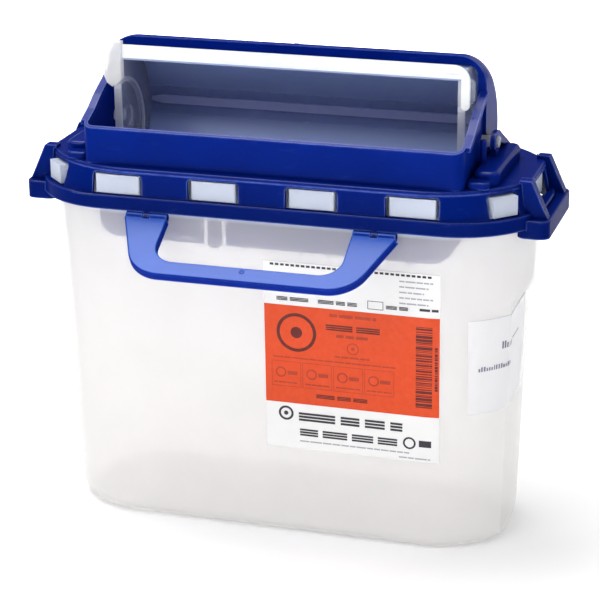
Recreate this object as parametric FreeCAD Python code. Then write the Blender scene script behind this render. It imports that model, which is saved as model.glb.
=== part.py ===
import FreeCAD, Part
import math
import os

# Sharps container: a translucent drafted tub, a clip-over blue lid with a hopper
# and an arched hood, a drop tray that turns in the hopper, and a front handle.
# Frame: +X to the right, -Y to the front, +Z up, origin on the base's centre.
# All sizes are in millimetres.

V = FreeCAD.Vector

# ---- tub
TUB_TOP = 190.0
TUB_WALL = 1.8
TUB_FLOOR = 2.2
BASE_CENTRE = 86.0
BASE_RADIUS = 47.8
TOP_CENTRE = 89.2
TOP_RADIUS = 52.3
BASE_ROUND = 9.0
NECK_CENTRE = 87.0
NECK_RADIUS = 49.0
NECK_TOP = 211.0
PANEL_X_BASE = 127.2
PANEL_X_TOP = 131.9
PANEL_TOP = 143.0

# ---- lid
DECK_TOP = 215.7
DECK_BOTTOM = 213.5
DECK_CENTRE = 81.0
DECK_DEPTH = 57.0
DECK_RADIUS = 66.0
DECK_END = 140.0
RIM_CENTRE = 97.0
RIM_DEPTH = 58.5
RIM_RADIUS = 50.0
RIM_END = 147.0
RIM_LOW = 191.7
RIM_HIGH = 199.9
SKIRT_INSET = 1.5
SKIRT_WALL = 2.2
WINDOW_LOW = 199.9
WINDOW_HIGH = 212.2
WINDOW_WIDTH = 29.6
WINDOW_PITCH = 56.4
PATTERN_X = -2.2
CORNER_WINDOW = (129.6, 40.4)
CORNER_WINDOW_WIDTH = 19.0
CORNER_ANGLE = 46.0
LID_END = 152.5
BLOCK_LOW = 186.6
BLOCK_HIGH = 196.9

# ---- hopper and hood
AXIS_Y = -4.0
AXIS_Z = 231.5
HOPPER_X = 108.8
HOPPER_FRONT = -52.0
HOPPER_WALL = 1.8
HOOD_X = 110.5
HOOD_RADIUS = 46.7
HOOD_WALL = 2.2
HOOD_RIM = 5.3
HOOD_FRONT = -3.0
HOOD_CORNER = 16.0
PAD_BACK = 26.0

# ---- tray
TRAY_RADIUS = 40.5
TRAY_WALL = 1.6
TRAY_INNER_X = 100.2
TRAY_OUTER_X = 101.8
CHORD_Y = -18.2
LIP_FRONT = -20.2
TAB_FRONT = -22.4
LIP_LOW = 269.2
LIP_TOP = 276.5
PIN_RADIUS = 3.2
RUNNING_GAP = 0.05

# ---- chute
CHUTE_X = 103.8
CHUTE_FRONT = -45.0
CHUTE_BACK = 40.0
CHUTE_WALL = 1.4
CHUTE_CORNER = 3.5
CHUTE_LOW = 171.5

# ---- handle
HANDLE_X = -3.6
HINGE_Y = -57.3
HINGE_Z = 188.6
HANDLE_TILT = 29.0
HANDLE_ABOVE = 1.6
HANDLE_THICK = 4.8
KNUCKLE_RADIUS = 2.6
HINGE_PIN_RADIUS = 1.25
LUG_WIDTH = 3.4


def box(x0, x1, y0, y1, z0, z1):
    return Part.makeBox(x1 - x0, y1 - y0, z1 - z0, V(x0, y0, z0))


def mirrored(shape):
    return shape.mirror(V(0, 0, 0), V(1, 0, 0))


def mirrored_y(shape):
    return shape.mirror(V(0, 0, 0), V(0, 1, 0))


def rod_x(x0, x1, y, z, radius):
    return Part.makeCylinder(radius, x1 - x0, V(x0, y, z), V(1, 0, 0))


def closed_face(edges):
    return Part.Face(Part.Wire(Part.__sortEdges__(edges)))


def polygon_face(points):
    return Part.Face(Part.makePolygon(points + [points[0]]))


def slab_x(outline, x0, x1):
    """A (y, z) polygon pulled along X."""
    face = polygon_face([V(x0, y, z) for y, z in outline])
    return face.extrude(V(x1 - x0, 0, 0))


def slab_y(outline, y0, y1):
    """An (x, z) polygon pulled along Y."""
    face = polygon_face([V(x, y0, z) for x, z in outline])
    return face.extrude(V(0, y1 - y0, 0))


def pick_edges(shape, wanted):
    return [edge for edge in shape.Edges if wanted(edge)]


def upright(edge):
    ends = [vertex.Point for vertex in edge.Vertexes]
    if len(ends) != 2:
        return False
    level = math.hypot(ends[0].x - ends[1].x, ends[0].y - ends[1].y)
    return level < 1e-6 and abs(ends[0].z - ends[1].z) > 0.5


def level_at(z):
    def test(edge):
        bounds = edge.BoundBox
        return abs(bounds.ZMin - z) < 1e-4 and abs(bounds.ZMax - z) < 1e-4
    return test


def rounded_box(x0, x1, y0, y1, z0, z1, radius, top_round=0.0):
    solid = box(x0, x1, y0, y1, z0, z1)
    solid = solid.makeFillet(radius, pick_edges(solid, upright))
    if top_round > 0:
        solid = solid.makeFillet(top_round, pick_edges(solid, level_at(z1)))
    return solid


def on_circle(radius, degrees, x=0.0):
    """A point about the tray's axis; the angle runs from the back, +Y, upwards."""
    turn = math.radians(degrees)
    return V(x, AXIS_Y + radius * math.cos(turn), AXIS_Z + radius * math.sin(turn))


def arc_about_axis(radius, start, end, x=0.0):
    middle = on_circle(radius, 0.5 * (start + end), x)
    return Part.Arc(on_circle(radius, start, x), middle, on_circle(radius, end, x)).toShape()


def line(a, b):
    return Part.LineSegment(a, b).toShape()


# ---------------------------------------------------------------- plan outlines

def stadium_wire(centre, radius, z):
    front_right = V(centre, -radius, z)
    back_right = V(centre, radius, z)
    back_left = V(-centre, radius, z)
    front_left = V(-centre, -radius, z)
    edges = [
        line(front_left, front_right),
        Part.Arc(front_right, V(centre + radius, 0, z), back_right).toShape(),
        line(back_right, back_left),
        Part.Arc(back_left, V(-centre - radius, 0, z), front_left).toShape(),
    ]
    return Part.Wire(edges)


def stadium_prism(centre, radius, z0, z1):
    return Part.Face(stadium_wire(centre, radius, z0)).extrude(V(0, 0, z1 - z0))


def lid_wire(centre, depth, radius, end, z):
    """Straight front and back, four corner arcs and two flat ends."""
    sweep = math.asin(min(1.0, (end - centre) / radius))

    def corner(part):
        angle = sweep * part
        return centre + radius * math.sin(angle), depth - radius * (1 - math.cos(angle))

    start, middle, stop = corner(0.0), corner(0.5), corner(1.0)

    def place(point, side_x, side_y):
        return V(side_x * point[0], side_y * point[1], z)

    edges = [
        line(place(start, -1, -1), place(start, 1, -1)),
        Part.Arc(place(start, 1, -1), place(middle, 1, -1), place(stop, 1, -1)).toShape(),
        line(place(stop, 1, -1), place(stop, 1, 1)),
        Part.Arc(place(stop, 1, 1), place(middle, 1, 1), place(start, 1, 1)).toShape(),
        line(place(start, 1, 1), place(start, -1, 1)),
        Part.Arc(place(start, -1, 1), place(middle, -1, 1), place(stop, -1, 1)).toShape(),
        line(place(stop, -1, 1), place(stop, -1, -1)),
        Part.Arc(place(stop, -1, -1), place(middle, -1, -1), place(start, -1, -1)).toShape(),
    ]
    return Part.Wire(edges)


def deck_wire(inset, z):
    return lid_wire(DECK_CENTRE, DECK_DEPTH - inset, DECK_RADIUS - inset, DECK_END - inset, z)


def rim_wire(inset, z):
    return lid_wire(RIM_CENTRE, RIM_DEPTH - inset, RIM_RADIUS - inset, RIM_END - inset, z)


def rim_prism(inset, z0, z1):
    return Part.Face(rim_wire(inset, z0)).extrude(V(0, 0, z1 - z0))


# ---------------------------------------------------------------- the tub

def tub_core(shrink, floor, top):
    """The drafted body, shrunk all round by one wall thickness or by nothing."""
    slope_centre = (TOP_CENTRE - BASE_CENTRE) / TUB_TOP
    slope_radius = (TOP_RADIUS - BASE_RADIUS) / TUB_TOP
    lower = stadium_wire(
        BASE_CENTRE + slope_centre * floor, BASE_RADIUS + slope_radius * floor - shrink, floor)
    upper = stadium_wire(
        BASE_CENTRE + slope_centre * top, BASE_RADIUS + slope_radius * top - shrink, top)
    core = Part.makeLoft([lower, upper], True, True)
    return core.makeFillet(BASE_ROUND - shrink, pick_edges(core, level_at(floor)))


def end_panel_cutter(shift):
    """What is taken off each round end below its ledge, leaving a flat panel."""
    base_x = PANEL_X_BASE - shift
    top_x = PANEL_X_TOP - shift
    ledge_z = PANEL_TOP + shift
    far_x = 160.0
    foot_z = -20.0
    rise = 7.0
    run = 8.5
    knee = V(top_x + 1.4, -60, ledge_z + 5.0)
    shoulder = V(top_x + run, -60, ledge_z + rise)
    edges = [
        line(V(base_x, -60, foot_z), V(top_x, -60, ledge_z)),
        Part.Arc(V(top_x, -60, ledge_z), knee, shoulder).toShape(),
        line(shoulder, V(far_x, -60, ledge_z + rise + 2.0)),
        line(V(far_x, -60, ledge_z + rise + 2.0), V(far_x, -60, foot_z)),
        line(V(far_x, -60, foot_z), V(base_x, -60, foot_z)),
    ]
    return closed_face(edges).extrude(V(0, 120, 0))


def corner_frame(shape, side_x, side_y):
    """Turns a shape built along -Y at the origin onto one corner of the lid."""
    shape = shape.copy()
    shape.rotate(V(0, 0, 0), V(0, 0, 1), CORNER_ANGLE)
    shape.translate(V(CORNER_WINDOW[0], -CORNER_WINDOW[1], 0))
    if side_x < 0:
        shape = mirrored(shape)
    if side_y > 0:
        shape = mirrored_y(shape)
    return shape


def front_window_centres():
    return [PATTERN_X + WINDOW_PITCH * step for step in (-1.5, -0.5, 0.5, 1.5)]


def snap_lugs():
    """Blocks on the neck that stand in the lid's windows."""
    side_gap = 1.8
    low = WINDOW_LOW + 0.7
    high = WINDOW_HIGH - 1.0
    half = WINDOW_WIDTH / 2 - side_gap
    lugs = []
    for x in front_window_centres():
        lug = rounded_box(x - half, x + half, -DECK_DEPTH + 1.0, -NECK_RADIUS + 1.0, low, high, 1.0)
        lugs.append(lug)
        lugs.append(mirrored_y(lug))
    corner_half = CORNER_WINDOW_WIDTH / 2 - side_gap
    corner = box(-corner_half, corner_half, -1.0, 13.0, low, high)
    for side_x in (-1, 1):
        for side_y in (-1, 1):
            lugs.append(corner_frame(corner, side_x, side_y))
    end = box(NECK_CENTRE + NECK_RADIUS - 4, DECK_END - 0.3, -12, 12, low, high)
    lugs += [end, mirrored(end)]
    return lugs


def container_tub():
    outer = tub_core(0.0, 0.0, TUB_TOP)
    inner = tub_core(TUB_WALL, TUB_FLOOR, TUB_TOP - TUB_WALL)
    for shift, name in ((0.0, "outer"), (TUB_WALL, "inner")):
        cutter = end_panel_cutter(shift)
        both = cutter.fuse(mirrored(cutter))
        if name == "outer":
            outer = outer.cut(both)
        else:
            inner = inner.cut(both)
    neck = stadium_prism(NECK_CENTRE, NECK_RADIUS, TUB_TOP - 5, NECK_TOP)
    throat = stadium_prism(NECK_CENTRE, NECK_RADIUS - TUB_WALL, TUB_TOP - 12, NECK_TOP + 5)
    body = outer.fuse([neck] + snap_lugs())
    return body.cut(inner.fuse(throat)).removeSplitter()


def tub_envelope(grow, top):
    """The tub's outer shape without its base rounding, grown all round."""
    slope_centre = (TOP_CENTRE - BASE_CENTRE) / TUB_TOP
    slope_radius = (TOP_RADIUS - BASE_RADIUS) / TUB_TOP
    lower = stadium_wire(BASE_CENTRE, BASE_RADIUS + grow, 0)
    upper = stadium_wire(
        BASE_CENTRE + slope_centre * top, BASE_RADIUS + slope_radius * top + grow, top)
    return Part.makeLoft([lower, upper], True, True).cut(end_panel_cutter(-grow))


def label_sheet(x0, x1, z0, z1):
    """A thin sheet that follows the front and the right end of the tub."""
    near = 0.05
    thick = 0.3
    back = 12.0
    top = TUB_TOP - 1.0
    sheet = tub_envelope(near + thick, top).cut(tub_envelope(near, top))
    return sheet.common(box(x0, x1, -60, back, z0, z1))


def front_label():
    return label_sheet(-3.5, 97.5, 55.0, 167.5)


def side_label():
    return label_sheet(112.0, 150.0, 84.0, 140.0)


# ---------------------------------------------------------------- the lid

def lid_deck():
    plate = Part.Face(deck_wire(0.0, DECK_BOTTOM)).extrude(V(0, 0, DECK_TOP - DECK_BOTTOM))
    plate = plate.makeFillet(1.2, pick_edges(plate, level_at(DECK_TOP)))
    opening = rounded_box(
        -CHUTE_X - 0.2, CHUTE_X + 0.2, CHUTE_FRONT - 0.2, CHUTE_BACK + 0.2,
        DECK_BOTTOM - 1, DECK_TOP + 1, CHUTE_CORNER + 0.2)
    return plate.cut(opening)


def lid_windows():
    cuts = []
    deep = DECK_DEPTH - NECK_RADIUS - 2.0
    for x in front_window_centres():
        window = rounded_window(WINDOW_WIDTH, -DECK_DEPTH - 6, -DECK_DEPTH + deep)
        window.translate(V(x, 0, 0))
        cuts.append(window)
        cuts.append(mirrored_y(window))
    corner = rounded_window(CORNER_WINDOW_WIDTH, -9, 9)
    for side_x in (-1, 1):
        for side_y in (-1, 1):
            cuts.append(corner_frame(corner, side_x, side_y))
    end = box(130, 160, -15, 15, WINDOW_LOW, WINDOW_HIGH)
    cuts += [end, mirrored(end)]
    return cuts


def rounded_window(width, y0, y1):
    """A window cutter with rounded upper corners, its width along X."""
    window = box(-width / 2, width / 2, y0, y1, WINDOW_LOW, WINDOW_HIGH)

    def top_side(edge):
        bounds = edge.BoundBox
        return bounds.YLength > 1 and bounds.ZMin > WINDOW_HIGH - 0.01
    return window.makeFillet(2.5, pick_edges(window, top_side))


def hinge_leg_centres():
    leg_centre = 65.6
    return [HANDLE_X - leg_centre, HANDLE_X + leg_centre]


def hinge_lugs():
    """Ears under the rim that carry the handle's hinge pins."""
    half = LUG_WIDTH / 2
    lugs = []
    for x in hinge_leg_centres():
        ear = rod_x(x - half, x + half, HINGE_Y, HINGE_Z, KNUCKLE_RADIUS)
        stem = box(x - half, x + half, HINGE_Y - 1.2, HINGE_Y + KNUCKLE_RADIUS, HINGE_Z, RIM_LOW + 0.5)
        bore = rod_x(x - half - 1, x + half + 1, HINGE_Y, HINGE_Z, HINGE_PIN_RADIUS + RUNNING_GAP)
        lugs.append(ear.fuse(stem).cut(bore))
    return lugs


def lid_skirt():
    foot = RIM_LOW + 4.0
    outer = Part.makeLoft([rim_wire(SKIRT_INSET, foot), deck_wire(0.0, DECK_BOTTOM)], True, True)
    wall = SKIRT_INSET + SKIRT_WALL
    inner = Part.makeLoft([rim_wire(wall, foot), deck_wire(SKIRT_WALL, DECK_BOTTOM)], True, True)
    band = rim_prism(0.0, RIM_LOW, RIM_HIGH)
    band = band.makeFillet(0.9, pick_edges(band, level_at(RIM_HIGH)))
    band = band.cut(rim_prism(SKIRT_INSET + SKIRT_WALL, RIM_LOW - 1, RIM_HIGH + 1))
    skirt = outer.cut(inner).cut(Part.makeCompound(lid_windows()))
    return skirt.fuse([band] + hinge_lugs()).removeSplitter()


def lid_envelope(grow):
    """Everything inside the rim band, the skirt and the deck, grown by a hair."""
    foot = RIM_LOW + 4.0
    skirt = Part.makeLoft(
        [rim_wire(SKIRT_INSET - grow, foot), deck_wire(-grow, DECK_BOTTOM)], True, True)
    band = rim_prism(-grow, RIM_LOW - grow, RIM_HIGH + grow)
    deck = Part.Face(deck_wire(-grow, DECK_BOTTOM)).extrude(V(0, 0, DECK_TOP - DECK_BOTTOM + grow))
    return band.fuse([skirt, deck])


def end_bracket():
    """The right-hand hanging loop: a block outside the rim and two sloping gussets."""
    touch = 0.02
    block = rounded_box(134.6, LID_END, -34, 34, BLOCK_LOW, BLOCK_HIGH, 5.5, 1.0)
    block = block.cut(rim_prism(-touch, RIM_LOW - touch, RIM_HIGH + 1))
    block = block.cut(stadium_prism(TOP_CENTRE, TOP_RADIUS + 0.5, BLOCK_LOW - 1, RIM_LOW + 1))
    web_width = 6.5
    web_inner = 22.3
    nose_top = 217.6
    outline = [
        (134.5, DECK_TOP + touch), (134.5, nose_top), (141.6, nose_top),
        (151.2, BLOCK_HIGH - 0.5), (138.0, BLOCK_HIGH - 0.5), (136.0, DECK_TOP + touch),
    ]
    near = slab_y(outline, -web_inner - web_width, -web_inner)

    def nose(edge):
        bounds = edge.BoundBox
        return bounds.ZMin > nose_top - 0.01 and bounds.YLength > 1
    near = near.makeFillet(0.8, pick_edges(near, nose)).cut(lid_envelope(touch))
    return block.fuse([near, mirrored_y(near)]).removeSplitter()


# ---------------------------------------------------------------- hopper and hood

def hopper_side_outline():
    return [
        (HOPPER_FRONT, DECK_TOP), (HOPPER_FRONT, 236.1), (-45, 239), (-36, 243),
        (-26, 249), (-17, 253), (-8.4, 257), (HOOD_FRONT - 0.1, 259), (HOOD_FRONT - 0.1, DECK_TOP),
    ]


def hopper_housing():
    """Front wall and two side walls with a rolled edge along the sloping tops."""
    top = 262.0
    back = 20.0
    outer = rounded_box(-HOPPER_X, HOPPER_X, HOPPER_FRONT, back, DECK_TOP, top, 6.0)
    inner_x = HOPPER_X - HOPPER_WALL
    inner = rounded_box(
        -inner_x, inner_x, HOPPER_FRONT + 2.2, back + 9, DECK_TOP - 1, top + 1, 4.0)
    walls = outer.cut(inner).common(slab_x(hopper_side_outline(), -HOPPER_X - 1, HOPPER_X + 1))
    edge = [
        (-46.0, 238.6), (-36, 243), (-26, 249), (-17, 253), (-8.4, 257), (HOOD_FRONT - 0.1, 259),
        (HOOD_FRONT - 0.1, 255.8), (-8.4, 254.0), (-17, 250), (-26, 246), (-36, 240), (-46.0, 236.0),
    ]
    roll = slab_x(edge, inner_x - 0.2, HOPPER_X + 2.6)
    hole = rod_x(-HOPPER_X - 2, HOPPER_X + 2, AXIS_Y, AXIS_Z, PIN_RADIUS + 0.6)
    return walls.fuse([roll, mirrored(roll)]).cut(hole).removeSplitter()


def hood_block(inset, front, corner):
    """The filled arch, inset all round; its two side arches are rounded over."""
    radius = HOOD_RADIUS - inset
    half = HOOD_X - inset
    top = on_circle(radius, 90, -half)
    back = on_circle(radius, 0, -half)
    edges = [
        line(V(-half, front, DECK_TOP), V(-half, front, top.z)),
        line(V(-half, front, top.z), top) if abs(front - top.y) > 1e-6 else None,
        arc_about_axis(radius, 90, 0, -half),
        line(back, V(-half, back.y, DECK_TOP)),
        line(V(-half, back.y, DECK_TOP), V(-half, front, DECK_TOP)),
    ]
    solid = closed_face([edge for edge in edges if edge]).extrude(V(2 * half, 0, 0))

    def arch_edge(edge):
        bounds = edge.BoundBox
        if bounds.XLength > 1e-4:
            return False
        return bounds.YMax > AXIS_Y + 1 and bounds.ZMax > DECK_TOP + 1 and bounds.YMax > front + 8
    return solid.makeFillet(corner, pick_edges(solid, arch_edge))


def rear_hood():
    reach = HOOD_FRONT - 40.0
    keep = box(-120, 120, HOOD_FRONT, 60, DECK_TOP, 290)
    filled = hood_block(0.0, reach, HOOD_CORNER)
    hollow = hood_block(HOOD_WALL, reach, HOOD_CORNER - HOOD_WALL)
    shell = filled.common(keep).cut(hollow)
    rim_keep = box(-120, 120, HOOD_FRONT, HOOD_FRONT + 5.5, 256.0, 290)
    rim_corner = 5.0
    rim = filled.common(rim_keep).cut(hood_block(HOOD_RIM, reach, rim_corner))
    hood = shell.fuse(rim)
    hole = rod_x(-HOOD_X - 2, HOOD_X + 2, AXIS_Y, AXIS_Z, PIN_RADIUS + 0.6)
    return hood.cut(hole).removeSplitter()


def side_pad():
    """A low plinth beside the hood with a lower toe and a locating post."""
    top = 223.5
    plinth = rounded_box(HOOD_X + 0.3, 125.0, -38, PAD_BACK, DECK_TOP, top, 5.0, 2.4)
    toe = rounded_box(HOPPER_X + 0.1, 121.5, -46, -30, DECK_TOP, 219.6, 3.5, 1.6)
    toe = toe.cut(box(100, HOOD_X + 0.3, -25, 0, 200, 240))
    post = Part.makeCylinder(1.7, 13.5, V(112.9, -20, top - 0.5))
    post = post.makeFillet(0.8, pick_edges(post, level_at(top + 13.0)))
    return plinth.fuse([toe, post]).removeSplitter()


def bearing_bracket():
    """A ring that holds the tray's pivot pin, on a short stem with a sloping strut behind."""
    seat = 223.5
    ring = 5.6
    x0 = 114.2
    x1 = 117.2
    foot_y = 43.5
    strut = [
        (AXIS_Y + 0.5, AXIS_Z + ring), (AXIS_Y + ring, AXIS_Z + 0.92 * ring),
        (foot_y, DECK_TOP + 0.02), (PAD_BACK + 0.1, DECK_TOP + 0.02),
        (PAD_BACK + 0.1, seat + 0.02), (foot_y - 24.0, seat + 0.02), (AXIS_Y + 2.0, AXIS_Z),
    ]
    web = rod_x(x0, x1, AXIS_Y, AXIS_Z, ring)
    web = web.fuse([slab_x(strut, x0, x1), box(x0, x1, AXIS_Y - 2.4, AXIS_Y + 3.6, seat + 0.02, AXIS_Z)])
    bore = rod_x(x0 - 1, x1 + 1, AXIS_Y, AXIS_Z, PIN_RADIUS + RUNNING_GAP)
    return web.cut(bore).removeSplitter()


def inner_chute():
    """The four-sided sleeve that hangs below the deck around the tray."""
    round_end = 14.0

    def sleeve(inset, z0, z1):
        solid = rounded_box(
            -CHUTE_X + inset, CHUTE_X - inset, CHUTE_FRONT + inset, CHUTE_BACK - inset,
            z0, z1, CHUTE_CORNER - inset)
        return solid

    outer = sleeve(0.0, CHUTE_LOW, DECK_TOP)
    walls = outer.cut(sleeve(CHUTE_WALL, CHUTE_LOW - 1, DECK_TOP + 1))
    corner = box(CHUTE_X - round_end, CHUTE_X + 2, -60, 60, CHUTE_LOW - 2, CHUTE_LOW + round_end)
    corner = corner.cut(Part.makeCylinder(
        round_end, 140, V(CHUTE_X - round_end, -70, CHUTE_LOW + round_end), V(0, 1, 0)))
    walls = walls.cut(corner.fuse(mirrored(corner)))
    slots = []
    for x in (-39.3, -28.7):
        slots.append(box(x - 1.3, x + 1.3, CHUTE_FRONT - 4, CHUTE_FRONT + 6, CHUTE_LOW - 1, 206))
    teeth = []
    for x, width in ((-34.0, 8.0), (-16.7, 3.0), (16.5, 3.0), (32.0, 3.0), (78.0, 4.0)):
        tooth = [(x - width / 2, CHUTE_LOW), (x + width / 2, CHUTE_LOW), (x, CHUTE_LOW - 2.8)]
        teeth.append(slab_y(tooth, CHUTE_FRONT, CHUTE_FRONT + CHUTE_WALL))
    return walls.cut(Part.makeCompound(slots)).fuse(teeth).removeSplitter()


def front_guide_ramp():
    """A curved wall under the hopper's front that ends at the tray's floor edge."""
    half = CHUTE_X - 2.9
    near = TRAY_RADIUS + 0.8
    far = near + 1.2
    start = 196.0
    outer_start = 201.0
    end = 248.5
    ledge = V(-half, HOPPER_FRONT + 2.4, DECK_TOP + 0.05)
    shelf = V(-half, on_circle(far, outer_start).y, DECK_TOP + 0.05)
    edges = [
        line(ledge, V(-half, ledge.y, 227.0)),
        line(V(-half, ledge.y, 227.0), on_circle(near, start, -half)),
        arc_about_axis(near, start, end, -half),
        line(on_circle(near, end, -half), on_circle(far, end, -half)),
        arc_about_axis(far, end, outer_start, -half),
        line(on_circle(far, outer_start, -half), shelf),
        line(shelf, ledge),
    ]
    return closed_face(edges).extrude(V(2 * half, 0, 0))


# ---------------------------------------------------------------- the tray

def chord_angle(radius):
    return math.degrees(math.acos((CHORD_Y - AXIS_Y) / radius))


def tray_trough():
    """The D-shaped trough with a rib along its upper edge that carries the lip."""
    inner = TRAY_RADIUS - TRAY_WALL
    outer_end = chord_angle(TRAY_RADIUS)
    inner_end = chord_angle(inner)
    x = -TRAY_INNER_X
    edges = [
        arc_about_axis(TRAY_RADIUS, -outer_end, outer_end, x),
        line(on_circle(TRAY_RADIUS, outer_end, x), on_circle(inner, inner_end, x)),
        arc_about_axis(inner, inner_end, -inner_end, x),
        line(on_circle(inner, -inner_end, x), on_circle(TRAY_RADIUS, -outer_end, x)),
    ]
    shell = closed_face(edges).extrude(V(2 * TRAY_INNER_X, 0, 0))
    rib_depth = 1.4
    rib = box(x, TRAY_INNER_X, CHORD_Y, CHORD_Y + rib_depth, LIP_LOW - 0.8, LIP_TOP - 1.5)
    return shell.fuse(rib).removeSplitter()


def chord_disc(x0, x1, radius):
    end = chord_angle(radius)
    edges = [
        arc_about_axis(radius, -end, end, x0),
        line(on_circle(radius, end, x0), on_circle(radius, -end, x0)),
    ]
    return closed_face(edges).extrude(V(x1 - x0, 0, 0))


def tray_end():
    """The right-hand end plate: a disc cut by the tray's front chord, with a raised ring."""
    inside = TRAY_RADIUS - TRAY_WALL - 0.05
    plate = chord_disc(TRAY_INNER_X, TRAY_OUTER_X, TRAY_RADIUS)
    ring_y = -9.0
    ring_z = 223.6
    ring_x = TRAY_INNER_X - 1.0
    ring = rod_x(ring_x, TRAY_OUTER_X, ring_y, ring_z, 31.0)
    ring = ring.cut(rod_x(ring_x - 1, TRAY_OUTER_X + 1, ring_y, ring_z, 28.6))
    ring = ring.common(chord_disc(ring_x, TRAY_OUTER_X, inside))
    edge = chord_disc(TRAY_INNER_X - 2.4, TRAY_OUTER_X, inside)
    edge = edge.common(box(90, 110, CHORD_Y, CHORD_Y + 1.6, 180, 290))
    hub = rod_x(TRAY_INNER_X - 1.6, TRAY_OUTER_X, AXIS_Y, AXIS_Z, 6.0)
    return plate.fuse([ring, edge, hub]).removeSplitter()


def tray_end_left():
    return mirrored(tray_end())


def tray_end_right():
    """The right end plate also has a small ear beside the lip's corner bar."""
    ear = box(TRAY_OUTER_X, 106.2, -14.5, -12.5, 254.0, 268.0)

    def free_corner(edge):
        bounds = edge.BoundBox
        return bounds.YLength > 1 and bounds.XLength < 0.01 and bounds.XMin > 106
    ear = ear.makeFillet(3.0, pick_edges(ear, free_corner))
    return tray_end().fuse(ear).removeSplitter()


def tray_lip():
    """A flat strip on the tray's upper edge whose right end turns down into a bar."""
    top = LIP_TOP
    low = LIP_LOW
    left = -95.4
    right = 104.7
    bar = 4.8
    bar_low = 252.0
    corner = 9.0
    y = LIP_FRONT
    turn = corner * (1 - math.sqrt(0.5))
    edges = [
        line(V(left, y, low), V(left, y, top)),
        line(V(left, y, top), V(right - corner, y, top)),
        Part.Arc(
            V(right - corner, y, top), V(right - turn, y, top - turn),
            V(right, y, top - corner)).toShape(),
        line(V(right, y, top - corner), V(right, y, bar_low + bar / 2)),
        Part.Arc(
            V(right, y, bar_low + bar / 2), V(right - bar / 2, y, bar_low),
            V(right - bar, y, bar_low + bar / 2)).toShape(),
        line(V(right - bar, y, bar_low + bar / 2), V(right - bar, y, low)),
        line(V(right - bar, y, low), V(left, y, low)),
    ]
    strip = closed_face(edges).extrude(V(0, CHORD_Y - LIP_FRONT - 0.02, 0))
    slot = box(91.0, 99.0, LIP_FRONT - 1, LIP_FRONT + 0.7, LIP_LOW + 2.4, LIP_LOW + 3.6)
    return strip.cut(slot)


def tray_thumb_tab():
    """The wing at the tray's left end that a thumb pushes."""
    outline = [
        (-106.2, 277.4), (-104.4, 278.6), (-95.5, 278.6), (-95.5, 257.0), (-98.5, 253.6),
        (-101.5, 252.4), (-104.6, 254.6), (-106.2, 258.4),
    ]
    wing = slab_y(outline, TAB_FRONT, CHORD_Y - 0.02)
    front = pick_edges(wing, lambda edge: edge.BoundBox.YMax < TAB_FRONT + 0.1)
    return wing.makeFillet(0.9, front)


def counterbalance_bar():
    """A flat bar on the trough's back wall, tapered at its left end."""
    outer = TRAY_RADIUS - TRAY_WALL - 0.03
    inner = outer - 1.8
    low = -2.4
    high = 5.0
    left = -99.0
    taper = 7.5
    tip_half = 1.1
    edges = [
        arc_about_axis(outer, low, high, left),
        line(on_circle(outer, high, left), on_circle(inner, high, left)),
        arc_about_axis(inner, high, low, left),
        line(on_circle(inner, low, left), on_circle(outer, low, left)),
    ]
    bar = closed_face(edges).extrude(V(TRAY_INNER_X - 0.2 - left, 0, 0))
    middle = on_circle(outer, 0.5 * (low + high)).z
    y = 20
    point = [
        V(left - 1, y, middle + tip_half), V(left, y, middle + tip_half),
        V(left + taper, y, middle + 2.6), V(left + taper, y, middle + 9),
        V(left - 1, y, middle + 9),
    ]
    trim = polygon_face(point).extrude(V(0, 30, 0))
    lower = trim.mirror(V(0, 0, middle), V(0, 0, 1))
    return bar.cut(trim.fuse(lower))


def pivot_pin():
    """The right-hand stub axle, from the end plate out through its bracket."""
    pin = rod_x(TRAY_OUTER_X + 0.02, 118.6, AXIS_Y, AXIS_Z, PIN_RADIUS)
    tip = pick_edges(pin, lambda edge: edge.BoundBox.XMin > 118.5)
    return pin.makeFillet(0.6, tip)


# ---------------------------------------------------------------- the handle

def rounded_face(corners, z):
    """A level face from (x, y, radius) corners, each rounded by a tangent arc."""
    edges = []
    joints = []
    count = len(corners)
    for index, (x, y, radius) in enumerate(corners):
        here = V(x, y, z)
        before = V(corners[index - 1][0], corners[index - 1][1], z)
        after = V(corners[(index + 1) % count][0], corners[(index + 1) % count][1], z)
        to_before = (before - here).normalize()
        to_after = (after - here).normalize()
        if radius <= 0:
            joints.append((here, here))
            continue
        half_turn = 0.5 * to_before.getAngle(to_after)
        reach = radius / math.tan(half_turn)
        start = here + to_before * reach
        stop = here + to_after * reach
        bisector = (to_before + to_after).normalize()
        middle = here + bisector * (radius / math.sin(half_turn) - radius)
        edges.append(Part.Arc(start, middle, stop).toShape())
        joints.append((start, stop))
    for index in range(count):
        edges.append(line(joints[index - 1][1], joints[index][0]))
    return closed_face(edges)


def handle_outline(top_half, low_half, start, reach, corner):
    """Half-width at the hinge, half-width at the foot, reach outwards and corner radius."""
    return rounded_face([
        (HANDLE_X - top_half, -start, 0), (HANDLE_X - low_half, -reach, corner),
        (HANDLE_X + low_half, -reach, corner), (HANDLE_X + top_half, -start, 0),
    ], HANDLE_ABOVE)


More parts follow.
